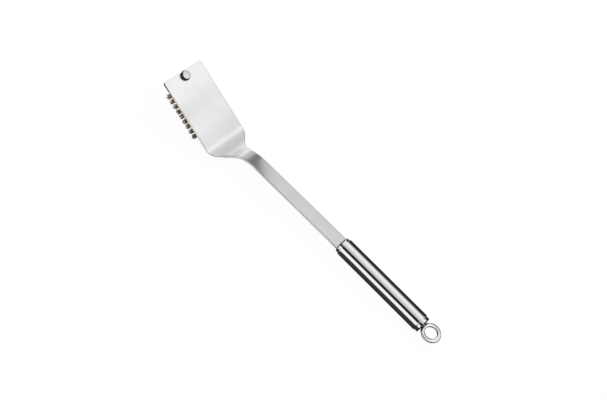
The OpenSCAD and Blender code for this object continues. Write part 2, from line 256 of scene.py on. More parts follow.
# ---------------------------------------------------------------- materials
class Nodes:
    def __init__(self, name):
        self.m = bpy.data.materials.new(name)
        self.m.use_nodes = True
        self.t = self.m.node_tree
        self.t.nodes.clear()
        self.out = self.t.nodes.new("ShaderNodeOutputMaterial")
        self.b = self.t.nodes.new("ShaderNodeBsdfPrincipled")
        self.t.links.new(self.b.outputs[0], self.out.inputs[0])

    def new(self, kind, **settings):
        n = self.t.nodes.new(kind)
        for k, v in settings.items():
            setattr(n, k, v)
        return n

    def link(self, a, b):
        self.t.links.new(a, b)

    def coords(self, cad=False):
        if cad:
            return self.new("ShaderNodeTexCoord").outputs["Object"]
        return self.new("ShaderNodeAttribute", attribute_name="loc").outputs["Vector"]

    def noise(self, vec, scale, detail=3.0, rough=0.55, stretch=(1, 1, 1)):
        m = self.new("ShaderNodeMapping")
        m.inputs["Scale"].default_value = stretch
        self.link(vec, m.inputs["Vector"])
        n = self.new("ShaderNodeTexNoise")
        n.inputs["Scale"].default_value = scale
        n.inputs["Detail"].default_value = detail
        n.inputs["Roughness"].default_value = rough
        self.link(m.outputs[0], n.inputs["Vector"])
        return n.outputs[0]

    def map(self, v, lo, hi, to_lo, to_hi, smooth=False):
        n = self.new("ShaderNodeMapRange")
        if smooth:
            n.interpolation_type = "SMOOTHSTEP"
        for i, x in enumerate((lo, hi, to_lo, to_hi)):
            n.inputs[i + 1].default_value = x
        self.link(v, n.inputs[0])
        return n.outputs[0]

    def math(self, op, a, b=None, clamp=False):
        n = self.new("ShaderNodeMath", operation=op, use_clamp=clamp)
        for i, x in enumerate((a, b)):
            if x is None:
                continue
            if isinstance(x, (int, float)):
                n.inputs[i].default_value = x
            else:
                self.link(x, n.inputs[i])
        return n.outputs[0]

    def mix(self, f, a, b):
        n = self.new("ShaderNodeMix", data_type="RGBA")
        if isinstance(f, (int, float)):
            n.inputs[0].default_value = f
        else:
            self.link(f, n.inputs[0])
        for i, x in ((6, a), (7, b)):
            if isinstance(x, tuple):
                n.inputs[i].default_value = (*x, 1.0)
            else:
                self.link(x, n.inputs[i])
        return n.outputs[2]

    def bump(self, height, strength, distance, normal=None):
        n = self.new("ShaderNodeBump")
        n.inputs["Strength"].default_value = strength
        n.inputs["Distance"].default_value = distance
        self.link(height, n.inputs["Height"])
        if normal is not None:
            self.link(normal, n.inputs["Normal"])
        return n.outputs[0]


def steel(name, base, rough, spread, grain, scale, bump, cad=False, mottle=0.04, worn=0.25, painted_shade=None, along=None):
    """Steel with a drawn or turned grain: grain is how far the noise stretches along each axis."""
    n = Nodes(name)
    v = n.coords(cad)
    fine = n.noise(v, scale, 4, 0.6, grain)
    coarse = n.noise(v, scale * 0.22, 3, 0.5, grain)
    cloud = n.noise(v, 28, 3, 0.5)
    lines = n.math("ADD", n.math("MULTIPLY", fine, 0.65), n.math("MULTIPLY", coarse, 0.35))
    r = n.map(lines, 0.3, 0.7, rough - spread, rough + spread)
    r = n.math("ADD", r, n.map(cloud, 0.3, 0.7, -0.25 * rough, 0.25 * rough))
    n.link(r, n.b.inputs["Roughness"])
    tone = n.math("ADD", n.map(cloud, 0.3, 0.7, -mottle, mottle), n.map(lines, 0.3, 0.7, -mottle * 0.7, mottle * 0.7))
    dark = tuple(c * 0.9 for c in base)
    light = tuple(min(1.0, c * 1.08) for c in base)
    c = n.mix(n.math("ADD", tone, 0.5), dark, light)
    point = n.new("ShaderNodeNewGeometry").outputs["Pointiness"]
    c = n.mix(n.map(point, 0.52, 0.62, 0.0, worn), c, (0.93, 0.93, 0.93))
    if painted_shade or along:
        sep = n.new("ShaderNodeSeparateXYZ")
        n.link(v, sep.inputs[0])
        x = n.math("ADD", sep.outputs[0], n.map(cloud, 0.3, 0.7, -0.00005, 0.00005))
    if along:
        # painted reflection: base colour made lighter and darker in bands along the piece, standing in for reflected
        # light and shade
        ramp_n = n.new("ShaderNodeValToRGB")
        e = ramp_n.color_ramp.elements
        lo, hi = along[0][0], along[-1][0]
        while len(e) > 1:
            e.remove(e[0])
        for i, (at, f) in enumerate(along):
            q = e[0] if i == 0 else e.new((at - lo) / (hi - lo))
            q.position = (at - lo) / (hi - lo)
            q.color = (f / 1.2, f / 1.2, f / 1.2, 1)
        n.link(n.map(x, lo * MM, hi * MM, 0, 1), ramp_n.inputs[0])
        m2 = n.new("ShaderNodeMix", data_type="RGBA", blend_type="MULTIPLY")
        m2.inputs[0].default_value = 1.0
        n.link(c, m2.inputs[6])
        full = n.new("ShaderNodeVectorMath", operation="SCALE")
        full.inputs["Scale"].default_value = 1.2
        n.link(ramp_n.outputs[0], full.inputs[0])
        n.link(full.outputs[0], m2.inputs[7])
        c = m2.outputs[2]
    if painted_shade:
        # painted shade: the base colour goes dark over a band of the piece's length, standing in for a dark reflection
        # and seam shadow at that end
        full, none, colour = painted_shade
        c = n.mix(n.map(x, full * MM, none * MM, 1.0, 0.0, True), c, colour)
    n.link(c, n.b.inputs["Base Color"])
    n.b.inputs["Metallic"].default_value = 1.0
    if bump:
        n.link(n.bump(lines, bump, 0.00004), n.b.inputs["Normal"])
    return n.m


satin = steel("satin_steel", (0.86, 0.86, 0.87), 0.25, 0.03, (0.010, 1, 1), 1500, 0.04, mottle=0.02)
polished = steel("polished_steel", (0.88, 0.88, 0.88), 0.085, 0.02, (1, 0.03, 0.03), 2400, 0.02, mottle=0.02)
# painted shade: the rear cap's end face and the front cap's front rim are painted near black, and the ring's root grey,
# standing in for dark reflections and seam shadows
cap_steel = steel("polished_cap_steel", (0.88, 0.88, 0.88), 0.085, 0.02, (1, 0.03, 0.03), 2400, 0.02, mottle=0.02, painted_shade=(HANDLE_L - 0.4, HANDLE_L - 0.9, (0.03, 0.03, 0.032)))
front_steel = steel("polished_front_steel", (0.88, 0.88, 0.88), 0.085, 0.02, (1, 0.03, 0.03), 2400, 0.02, mottle=0.02, painted_shade=(1.3, 2.1, (0.05, 0.05, 0.052)))
polished_ring = steel("polished_ring_steel", (0.88, 0.88, 0.88), 0.12, 0.01, (0.4, 0.4, 0.4), 900, 0, mottle=0.01, painted_shade=(HANDLE_L + 2.2, HANDLE_L + 3.6, (0.3, 0.3, 0.31)))


def nut_finish():
    """Bright turned dome over a fluted side painted nearly black: painted shade standing in for the dark reflection and
    shadow on the nut's side.
    """
    n = Nodes("chromed_nut")
    v = n.coords()
    cloud = n.noise(v, 300, 3, 0.5)
    fine = n.noise(v, 2600, 3, 0.6, (1, 1, 0.3))
    sep = n.new("ShaderNodeSeparateXYZ")
    n.link(v, sep.inputs[0])
    # painted shade: below the dome the base colour goes nearly black, standing in for dark reflection and shadow on the
    # side
    side = n.map(n.math("ADD", sep.outputs[2], n.map(cloud, 0.3, 0.7, -0.00006, 0.00006)), (WASHER_T + NUT_H - DOME_H - 0.95) * MM, (WASHER_T + NUT_H - DOME_H - 0.45) * MM, 0.0, 1.0, True)
    point = n.new("ShaderNodeNewGeometry").outputs["Pointiness"]
    worn = n.map(point, 0.53, 0.62, 0.0, 0.25)
    black = n.mix(worn, (0.012, 0.012, 0.013), (0.22, 0.22, 0.22))
    bright = n.mix(n.map(cloud, 0.3, 0.7, 0.0, 1.0), (0.82, 0.82, 0.82), (0.92, 0.92, 0.92))
    n.link(n.mix(side, black, bright), n.b.inputs["Base Color"])
    n.link(n.map(side, 0, 1, 0.2, 0.45), n.b.inputs["Metallic"])
    n.link(n.math("ADD", n.map(side, 0, 1, 0.38, 0.30), n.map(fine, 0.3, 0.7, -0.03, 0.03)), n.b.inputs["Roughness"])
    n.b.inputs["Specular IOR Level"].default_value = 0.3
    n.link(n.bump(fine, 0.05, 0.00003), n.b.inputs["Normal"])
    return n.m


chrome = nut_finish()
zinc = steel("zinc_steel", (0.62, 0.62, 0.63), 0.3, 0.06, (1, 1, 1), 1500, 0.08)
zinc_cad = steel("zinc_steel_inside", (0.62, 0.62, 0.63), 0.3, 0.06, (1, 1, 1), 1500, 0.08, cad=True)
carrier_steel = steel("carrier_steel", (0.72, 0.72, 0.73), 0.34, 0.06, (1, 0.012, 1), 2200, 0.12)


def brass(name, cad=False):
    n = Nodes(name)
    v = n.coords(cad)
    cloud = n.noise(v, 90, 3, 0.6)
    fine = n.noise(v, 2200, 2, 0.5)
    if cad:
        tone, depth = cloud, cloud
    else:
        a = n.new("ShaderNodeAttribute", attribute_name="tone")
        tone = a.outputs["Fac"]
        d = n.new("ShaderNodeAttribute", attribute_name="depth")
        depth = d.outputs["Fac"]
    c = n.mix(tone, (0.70, 0.50, 0.26), (1.0, 0.82, 0.53))
    c = n.mix(n.map(cloud, 0.5, 0.8, 0.0, 0.4), c, (0.50, 0.37, 0.17))
    # painted shade: base colour darkened by depth towards the block, where the head plate shades the wires; the tips
    # keep their brass colour, and inside the CAD parts the same darkening follows noise
    c = n.mix(n.map(depth, 0.1, 0.6, 0.4, 0.0, True), c, (0.26, 0.16, 0.07))
    n.link(c, n.b.inputs["Base Color"])
    n.b.inputs["Metallic"].default_value = 1.0
    n.link(n.map(fine, 0.3, 0.7, 0.30, 0.48), n.b.inputs["Roughness"])
    n.link(n.bump(fine, 0.15, 0.00003), n.b.inputs["Normal"])
    return n.m


brass_wire = brass("brass_wire")
brass_inside = brass("brass_inside", cad=True)


def plastic(name):
    n = Nodes(name)
    v = n.coords()
    grain = n.noise(v, 1400, 3, 0.6)
    cloud = n.noise(v, 60, 3, 0.5)
    c = n.mix(n.map(cloud, 0.35, 0.65, 0.0, 1.0), (0.018, 0.018, 0.019), (0.034, 0.034, 0.036))
    point = n.new("ShaderNodeNewGeometry").outputs["Pointiness"]
    c = n.mix(n.map(point, 0.52, 0.6, 0.0, 0.5), c, (0.10, 0.10, 0.10))
    n.link(c, n.b.inputs["Base Color"])
    n.link(n.map(grain, 0.3, 0.7, 0.5, 0.68), n.b.inputs["Roughness"])
    n.link(n.bump(grain, 0.35, 0.00008), n.b.inputs["Normal"])
    return n.m


black_plastic = plastic("black_plastic")


# ---------------------------------------------------------------- blade
def step(p, length, h):
    return (p[0] - length * math.cos(h), p[1] - length * math.sin(h))


def normal(h):
    return (-math.sin(h), math.cos(h))


def off(p, k, h):
    n = normal(h)
    return (p[0] + k * n[0], p[1] + k * n[1])


A1 = step((0, 0), SHAFT_L, H0)
C1 = off(A1, -R_UP, H0)
A2 = off(C1, R_UP, H1)
A3 = step(A2, NECK_L, H1)
C2 = off(A3, R_LOW, H1)
A4 = off(C2, -R_LOW, H2)
S1 = SHAFT_L
S2 = S1 + R_UP * (H1 - H0)
S3 = S2 + NECK_L
S4 = S3 + R_LOW * (H1 - H2)
S5 = S4 + PLATE_L


def line(s):
    """Centre line of the blade: its point and its heading at length s in front of the handle."""
    if s <= S1:
        return step((0, 0), s, H0), H0
    if s <= S2:
        h = H0 + (s - S1) / R_UP
        return off(C1, R_UP, h), h
    if s <= S3:
        return step(A2, s - S2, H1), H1
    if s <= S4:
        h = H1 - (s - S3) / R_LOW
        return off(C2, -R_LOW, h), h
    return step(A4, s - S4, H2), H2


def blade_rows():
    """Rows across the blade, from tang to front edge: length, half width and outward direction of the outline."""
    hs, hp = SHAFT_W / 2, PLATE_W / 2
    k1y, k2y = hp - SHOULDER_R, hs + THROAT_R
    reach = SHOULDER_R + THROAT_R
    kd = math.sqrt(reach ** 2 - (k2y - k1y) ** 2)
    k2s = S4 - kd
    turn = math.asin(kd / reach)
    rows = []
    for i in range(5):
        a = math.radians(90 - 90 * i / 5)
        rows.append((-TANG_L + 1 - math.sin(a), hs - 1 + math.cos(a), -math.sin(a), math.cos(a)))
    for s in list(np.linspace(-TANG_L + 1, 0, 7)) + list(np.linspace(2, S1, 40)) + list(np.linspace(S1 + 0.9, k2s - 0.9, 16)):
        rows.append((s, hs, 0, 1))
    for i in range(34):
        b = turn * i / 34
        rows.append((k2s + THROAT_R * math.sin(b), k2y - THROAT_R * math.cos(b), -math.sin(b), math.cos(b)))
    for i in range(40):
        a = turn * (1 - i / 40)
        rows.append((S4 - SHOULDER_R * math.sin(a), k1y + SHOULDER_R * math.cos(a), -math.sin(a), math.cos(a)))
    for s in np.linspace(S4, S5 - CORNER_R - 0.5, 40):
        rows.append((s, hp, 0, 1))
    for i in range(11):
        a = math.radians(90 * i / 10)
        rows.append((S5 - CORNER_R + CORNER_R * math.sin(a), hp - CORNER_R + CORNER_R * math.cos(a), math.sin(a), math.cos(a)))
    return rows


def edge_round(s, side):
    """Radius of the blade's edge: generous along the near side, square at the scraping front."""
    square = min(1.0, max(0.0, (s - (S5 - 15)) / 4))
    square = square * square * (3 - 2 * square)
    along = 1.6 if side < 0 else 0.9
    return along + (0.45 - along) * square


def sheet_metal(name, rows, centre, t, place, material, cols=40, layers=6):
    """A bent sheet with rounded edges: rows across it, along its centre line."""
    n = len(rows)
    verts, faces = [], []

    def point(s, y, z):
        p, h = centre(s)
        q = off(p, z, h)
        verts.append((q[0], y, q[1]))
        return len(verts) - 1

    def ends(r, a):
        """Both ends of a row, drawn in by the rounding at angle a: (s, y) and how far below the top face."""
        out = []
        for side in (1, -1):
            e = edge_round(r[0], side)
            d = e - e * math.cos(a)
            out.append((r[0] - d * r[2], side * (r[1] - d * r[3]), e - e * math.sin(a)))
        return out

    def cap(sign):
        grid = []
        for r in rows:
            p, q = ends(r, math.pi / 2)
            grid.append([point(p[0] + (q[0] - p[0]) * j / cols, p[1] + (q[1] - p[1]) * j / cols, sign * t / 2) for j in range(cols + 1)])
        for i in range(n - 1):
            for j in range(cols):
                faces.append((grid[i][j], grid[i][j + 1], grid[i + 1][j + 1], grid[i + 1][j]))
        return [grid[i][0] for i in range(n)] + grid[n - 1][1:cols] + [grid[i][cols] for i in range(n - 1, -1, -1)] + grid[0][cols - 1:0:-1]

    def ring(a, sign):
        pairs = [ends(r, a) for r in rows]

        def at(p):
            return point(p[0], p[1], sign * (t / 2 - p[2]))

        def across(p, q):
            return [at([p[k] + (q[k] - p[k]) * j / cols for k in range(3)]) for j in range(1, cols)]

        return [at(p[0]) for p in pairs] + across(*pairs[-1]) + [at(p[1]) for p in pairs[::-1]] + across(*pairs[0][::-1])

    loops = [cap(1)]
    loops += [ring(math.radians(90 - 90 * k / layers), 1) for k in range(1, layers + 1)]
    loops += [ring(math.radians(90 * k / layers), -1) for k in range(layers)]
    loops.append(cap(-1))
    for a, b in zip(loops, loops[1:]):
        m = len(a)
        for i in range(m):
            faces.append((a[i], a[(i + 1) % m], b[(i + 1) % m], b[i]))
    return make(name, np.array(verts), faces, place, material, 40)


# painted reflection: base colour factors by length along the blade in mm, lighter and darker bands standing in for
# reflected light and shade on the bends and plate
PAINTED_REFLECTION = [(0, 0.86), (100, 0.84), (140, 0.81), (156, 0.84), (160, 0.86), (164, 1.02), (168, 1.05), (172, 0.92), (176, 0.98), (180, 0.96), (184, 0.84), (187, 0.83), (190, 0.87), (193, 0.80), (196, 0.79), (198, 0.86), (200, 0.95), (202, 1.04), (204, 1.0), (206, 0.88), (208.5, 0.82), (216, 0.835), (222, 0.86), (230, 0.91), (242, 0.90), (254, 0.87), (264, 0.90), (272, 0.95), (284, 0.98), (302, 0.98)]
blade = sheet_metal("blade_forging", blade_rows(), line, BLADE_T, HANDLE, steel("satin_blade_steel", (0.86, 0.86, 0.87), 0.25, 0.03, (0.010, 1, 1), 1500, 0.04, mottle=0.02, along=sorted((line(s)[0][0], f) for s, f in PAINTED_REFLECTION)))
slot_r = STUD_R + 0.2
slot_outline = [(-6, -slot_r), (NUT_X, -slot_r)] + arc(NUT_X, 0, slot_r, -90, 90, 24)[1:-1] + [(NUT_X, slot_r), (-6, slot_r)]
cut(blade, prism("slot_tool", slot_outline, -BLADE_T - 1, 1, PLATE, satin, bevel=0))
shade(blade, 40)

# ---------------------------------------------------------------- handle
tube_lo, tube_hi = CAP_L, HANDLE_L - CAP_L
bore = TUBE_R - TUBE_WALL
profile = [(bore, tube_lo)] + [(TUBE_R - 0.55 + 0.55 * math.sin(math.radians(a)), tube_lo + 0.55 - 0.55 * math.cos(math.radians(a))) for a in range(0, 91, 15)]
profile += [(TUBE_R, x) for x in np.linspace(tube_lo + 4, tube_hi - 4, 24)]
profile += [(TUBE_R - 0.55 + 0.55 * math.cos(math.radians(a)), tube_hi - 0.55 + 0.55 * math.sin(math.radians(a))) for a in range(0, 91, 15)]
profile += [(bore, tube_hi)]
tube = lathe("handle_tube_shell", profile, HANDLE, polished, n=256)


def cap_profile(hollow, r, nose):
    p = [(0, 0), (CAP_R - r, 0)] + [(CAP_R - r + r * math.sin(math.radians(a)), nose - nose * math.cos(math.radians(a))) for a in range(10, 91, 10)]
    p += [(CAP_R, CAP_L - 0.5), (CAP_R - 0.12, CAP_L - 0.12), (CAP_R - 0.4, CAP_L), (bore - 0.02, CAP_L + 0.01), (bore - 0.02, CAP_L + SPIGOT - 0.6), (bore - 0.6, CAP_L + SPIGOT)]
    if hollow:
        p += [(bore - 2.2, CAP_L + SPIGOT), (bore - 2.2, CAP_L)]
        return p + [(0, CAP_L)]
    return p + [(0, CAP_L + SPIGOT)]


front_cap = lathe("front_cap_turned", cap_profile(False, 2.0, 2.8), HANDLE, front_steel, n=192)
slot = prism("cap_slot_tool", [(-3, -SHAFT_W / 2 - 0.06), (30, -SHAFT_W / 2 - 0.06), (30, SHAFT_W / 2 + 0.06), (-3, SHAFT_W / 2 + 0.06)], -BLADE_T / 2 - 0.06, BLADE_T / 2 + 0.06, HANDLE, polished, bevel=0)
slot.data.transform(Matrix.Translation(HANDLE.out((0, 0, 0))) @ Matrix.Rotation(-H0, 4, "Y") @ Matrix.Translation(-Vector(HANDLE.out((0, 0, 0)))))
cut(front_cap, slot)
shade(front_cap, 35)

rear_cap = lathe("rear_cap_turned", [(r, HANDLE_L - x) for r, x in cap_profile(True, 0.35, 0.35)], HANDLE, cap_steel, n=192)


# ---------------------------------------------------------------- hanging ring
def torus_part(name, rx, half_w, half_t, power, n=144, m=40):
    verts, faces = [], []
    for i in range(n):
        a = 2 * math.pi * i / n
        for j in range(m):
            b = 2 * math.pi * j / m
            c, s = math.cos(b), math.sin(b)
            u = math.copysign(abs(c) ** (2 / power), c) * half_w
            w = math.copysign(abs(s) ** (2 / power), s) * half_t
            r = RING_R + u
            verts.append((rx + r * math.cos(a), r * math.sin(a), w))
    for i in range(n):
        for j in range(m):
            faces.append((i * m + j, ((i + 1) % n) * m + j, ((i + 1) % n) * m + (j + 1) % m, i * m + (j + 1) % m))
    return make(name, np.array(verts), faces, HANDLE, polished_ring, 180)


torus = torus_part("ring_bar", RING_X, BAR_W / 2, BAR_T / 2, 2.0)
root = prism("ring_root", [(HANDLE_L - 0.3, -3.4), (HANDLE_L + 0.9, -3.6), (HANDLE_L + 2.6, -4.8), (HANDLE_L + 4.4, -6.4), (HANDLE_L + 4.9, 0), (HANDLE_L + 4.4, 6.4), (HANDLE_L + 2.6, 4.8), (HANDLE_L + 0.9, 3.6), (HANDLE_L - 0.3, 3.4)],
             -1.35, 1.35, HANDLE, polished_ring, bevel=0.5)
stem = lathe("ring_stem", [(0, HANDLE_L - 0.3), (3.0, HANDLE_L - 0.3), (2.8, HANDLE_L + 0.2), (2.3, HANDLE_L + 0.7), (2.0, HANDLE_L + 2.4), (0, HANDLE_L + 3.0)], HANDLE, polished_ring, n=96)
for part in (torus, root, stem):
    part.parent = None
cut(root, stem, join=True)
m = root.modifiers.new("melt", "REMESH")
m.mode = "VOXEL"
m.voxel_size = 0.2 * MM
m = root.modifiers.new("soften", "SMOOTH")
m.factor = 0.5
m.iterations = 8
bpy.context.view_layer.update()
applied(root)
# level the face that meets the cap
co = np.zeros(len(root.data.vertices) * 3)
root.data.vertices.foreach_get("co", co)
loc = HANDLE.back(co.reshape(-1, 3))
loc[:, 0] = np.maximum(loc[:, 0], HANDLE_L - 0.02)
root.data.vertices.foreach_set("co", HANDLE.out(loc).ravel())
ring = joined("hanging_ring_forged", [torus, root])
shade(ring, 180)

# ---------------------------------------------------------------- brush insert
carrier_outline = arc(4.2, -BLOCK_W / 2 + 3, 3, 270, 180, 8) + arc(4.2, BLOCK_W / 2 - 3, 3, 180, 90, 8)
back = BLOCK_X + BLOCK_L
carrier_outline += arc(back - 2, BLOCK_W / 2 - 2, 2, 90, 0, 6) + [(back, 9 + 2)] + arc(back + 2, 9 + 2, 2, 180, 270, 5)[1:] + arc(TONGUE_END - 1.5, 9 - 1.5, 1.5, 90, 0, 5)
carrier_outline += arc(TONGUE_END - 1.5, -9 + 1.5, 1.5, 0, -90, 5) + arc(back + 2, -9 - 2, 2, 90, 180, 5) + [(back, -BLOCK_W / 2 + 2)] + arc(back - 2, -BLOCK_W / 2 + 2, 2, 0, -90, 6)[1:]
carrier = prism("carrier_stamping", carrier_outline, CARRIER_BOT, CARRIER_TOP, PLATE, carrier_steel, bevel=0.25)

block = prism("bristle_block_moulding", round_rect(BLOCK_X, back, -BLOCK_W / 2, BLOCK_W / 2, 3, 10), BLOCK_BOT, CARRIER_BOT, PLATE, black_plastic, bevel=0.8, segments=4)

screw_x = (TUFT_X - 1.2, TUFT_X + (LONG_ROW - 1) * PITCH + 0.4)
screw_y = 2 * ROW_PITCH
screws = []
for x in screw_x:
    for y in (-screw_y, screw_y):
        s = lathe("screw", [(0, CARRIER_BOT - 0.2), (1.28, CARRIER_BOT - 0.2), (1.3, CARRIER_TOP - 1.3), (2.5, CARRIER_TOP - 0.1), (2.55, CARRIER_TOP + 0.0), (0, CARRIER_TOP + 0.03)], PLATE, zinc, axis="z", centre=(x, y, 0), n=48)
        a0 = random.uniform(0, 60)
        hexa = [(x + 1.15 * math.cos(math.radians(a0 + 60 * k)), y + 1.15 * math.sin(math.radians(a0 + 60 * k))) for k in range(6)]
        cut(s, prism("hex_tool", hexa, CARRIER_TOP - 0.9, CARRIER_TOP + 1, PLATE, zinc, bevel=0))
        screws.append(s)


screw_heads = joined("block_screw_heads", screws)


def thread(name, lo, hi, r_out, depth, pitch, place, material, centre, n=48, per=10):
    """A rod with a real helical thread."""
    count = int((hi - lo) / pitch * per)
    verts, faces = [], []
    for k in range(count + 1):
        z = lo + (hi - lo) * k / count
        for i in range(n):
            a = 2 * math.pi * i / n
            f = ((z / pitch - i / n) % 1.0)
            tri = abs(2 * f - 1)
            r = r_out - depth * min(1.0, max(0.0, tri * 1.25 - 0.12))
            fade = min(1.0, (hi - z) / 0.6)
            r = min(r, r_out - 0.55 * (1 - fade))
            verts.append((centre[0] + r * math.cos(a), centre[1] + r * math.sin(a), z))
    for k in range(count):
        for i in range(n):
            j = (i + 1) % n
            faces.append((k * n + i, k * n + j, (k + 1) * n + j, (k + 1) * n + i))
    faces.append(tuple(range(n)))
    faces.append(tuple(range(count * n, (count + 1) * n)))
    return make(name, np.array(verts), faces, place, material, 60)


stud_top = WASHER_T + NUT_H - 1.5
stud = thread("mount_stud_threaded", CARRIER_BOT, stud_top, STUD_R, 0.42, 1.0, PLATE, zinc, (NUT_X, 0))
head = lathe("stud_head", [(0, CARRIER_BOT + 0.1), (STUD_R + 1.4, CARRIER_BOT + 0.1), (STUD_R + 1.4, CARRIER_BOT - 0.8), (STUD_R + 1.0, CARRIER_BOT - 1.2), (0, CARRIER_BOT - 1.2)], PLATE, zinc, axis="z", centre=(NUT_X, 0, 0), n=64)
stud = joined("mount_stud_threaded", [stud, head])

# rear hook under the head plate
z_lip = CARRIER_BOT - 0.1
x1 = TONGUE_END + 0.2
hook_outline = [(83, z_lip), (x1, z_lip), (x1, -BLADE_T), (96.8, -BLADE_T), (96.8, -BLADE_T - HOOK_T), (x1 + HOOK_T + 0.5, -BLADE_T - HOOK_T), (x1 + HOOK_T, -BLADE_T - HOOK_T - 0.5), (x1 + HOOK_T, z_lip - HOOK_T + 0.9),
                (x1 + HOOK_T - 0.35, z_lip - HOOK_T + 0.25), (x1 + HOOK_T - 0.9, z_lip - HOOK_T), (83, z_lip - HOOK_T), (82, z_lip - HOOK_T - 0.4), (81.6, z_lip - HOOK_T + 0.6)]
hook = prism("rear_hook_pressing", hook_outline, -11, 11, PLATE, satin, bevel=0.2, along="y")


# ---------------------------------------------------------------- tufts
def tuft_places(row):
    y = (row - 4) * ROW_PITCH
    if row % 2:
        return [(TUFT_X + i * PITCH, y) for i in range(LONG_ROW)]
    return [(TUFT_X + (i + 0.5) * PITCH, y) for i in range(LONG_ROW - 1)]


WIRES, SEGS, SIDES, WIRE_R = 80, 6, 5, 0.17


def tuft_row(row):
    verts, faces, tone, depth = [], [], [], []
    base = 0
    for cx, cy in tuft_places(row):
        lean = -0.25 + rng.normal(0, 0.12)
        for k in range(WIRES):
            # even spread in the root circle, each wire going on outwards
            q = math.sqrt((k + 0.5) / WIRES)
            a = k * 2.399963 + rng.normal(0, 0.25)
            r0 = q * (TUFT_ROOT_R - WIRE_R - 0.05)
            r1 = (q ** 0.85) * (TUFT_TIP_R + 0.2 - WIRE_R) * (1 + rng.normal(0, 0.12)) * (1.5 if rng.random() < 0.42 else 1.0)
            # a few stray wires splay past the body of the tuft
            r1 = min(r1, TUFT_TIP_R - WIRE_R + (0.8 if k % 5 == 2 else 0.0))
            a1 = a + rng.normal(0, 0.18)
            tip = TIP_DEPTH - abs(rng.normal(0, 0.22)) - 0.05
            start = -BLOCK_BOT - 0.6
            bow = rng.normal(0, 0.16, 2)
            for i in range(SEGS + 1):
                t = i / SEGS
                s = t ** 1.25
                x = (r0 * math.cos(a)) * (1 - s) + (r1 * math.cos(a1) + lean) * s + bow[0] * math.sin(math.pi * t)
                y = (r0 * math.sin(a)) * (1 - s) + (r1 * math.sin(a1)) * s + bow[1] * math.sin(math.pi * t)
                z = -(start + (tip - start) * t)
                rr = WIRE_R * (0.85 if i == SEGS else 1)
                for j in range(SIDES):
                    b = 2 * math.pi * j / SIDES + k
                    verts.append((cx + x + rr * math.cos(b), cy + y + rr * math.sin(b), z))
                    tone.append(0)
                    depth.append(t)
            w = min(1.0, max(0.0, 0.5 + rng.normal(0, 0.24)))
            tone[-SIDES * (SEGS + 1):] = [w] * (SIDES * (SEGS + 1))
            for i in range(SEGS):
                for j in range(SIDES):
                    jj = (j + 1) % SIDES
                    faces.append((base + i * SIDES + j, base + i * SIDES + jj, base + (i + 1) * SIDES + jj, base + (i + 1) * SIDES + j))
            faces.append(tuple(base + j for j in range(SIDES)))
            faces.append(tuple(base + SEGS * SIDES + j for j in range(SIDES)))
            base += SIDES * (SEGS + 1)
    o = make(f"tufts_row_{row}", np.array(verts), faces, PLATE, brass_wire, 60)
    for name, values in (("tone", tone), ("depth", depth)):
        at = o.data.attributes.new(name, "FLOAT", "POINT")
        at.data.foreach_set("value", np.array(values, np.float32))
    return o


tufts = [tuft_row(r) for r in range(1, 8)]

# ---------------------------------------------------------------- clamp nut
NUT_TOP = WASHER_T + NUT_H
SIDE_H = NUT_H - DOME_H - 0.4
edge_r = NUT_TOP_R - 0.4
dome_r = (edge_r ** 2 + DOME_H ** 2) / (2 * DOME_H)


def side_r(z):
    """Radius of the nut's sloping side at height z."""
    return NUT_R + (NUT_TOP_R - NUT_R) * (z - WASHER_T) / SIDE_H


hole_top = WASHER_T + NUT_H - 1.2
side_top = WASHER_T + SIDE_H
prof = [(0, hole_top), (STUD_R + 0.04, hole_top), (STUD_R + 0.04, WASHER_T + 0.4), (STUD_R + 0.4, WASHER_T), (NUT_R - 0.4, WASHER_T), (NUT_R - 0.12, WASHER_T + 0.08)]
prof += [(side_r(z), z) for z in np.linspace(WASHER_T + 0.25, side_top - 0.05, 10)]
prof += [(NUT_TOP_R - 0.06, side_top + 0.1), (NUT_TOP_R - 0.16, side_top + 0.22), (NUT_TOP_R - 0.3, side_top + 0.33), (edge_r, side_top + 0.4)]
top_a = math.degrees(math.asin(edge_r / dome_r))
prof += [(dome_r * math.sin(math.radians(top_a * (1 - i / 14))), NUT_TOP - dome_r + dome_r * math.cos(math.radians(top_a * (1 - i / 14)))) for i in range(1, 15)]


def knurl(a, r, h):
    if r < NUT_TOP_R - 0.02 or h > side_top:
        return r
    f = abs(math.sin(12 * a))
    return r - 0.32 * (1 - f ** 0.5)


nut = lathe("thumb_nut_turned", prof, PLATE, chrome, axis="z", centre=(NUT_X, 0, 0), n=288, radius=knurl)

# split spring washer
ro, ri = STUD_R + 2.65, STUD_R + 0.12
verts, faces = [], []
sec = [(ri + 0.12, 0.02), (ro - 0.15, 0.02), (ro, 0.17), (ro, WASHER_T - 0.17), (ro - 0.15, WASHER_T - 0.02), (ri + 0.12, WASHER_T - 0.02), (ri, WASHER_T - 0.14), (ri, 0.14)]
n_w = 96
for i in range(n_w + 1):
    a = math.radians(6 + 348 * i / n_w)
    for r, z in sec:
        skew = 0.05 * (z - WASHER_T / 2)
        verts.append((NUT_X + r * math.cos(a + skew), r * math.sin(a + skew), z))
k = len(sec)
for i in range(n_w):
    for j in range(k):
        jj = (j + 1) % k
        faces.append((i * k + j, i * k + jj, (i + 1) * k + jj, (i + 1) * k + j))
faces.append(tuple(range(k)))
faces.append(tuple(range(n_w * k, n_w * k + k)))
washer = make("lock_washer_split", np.array(verts), faces, PLATE, zinc, 30)

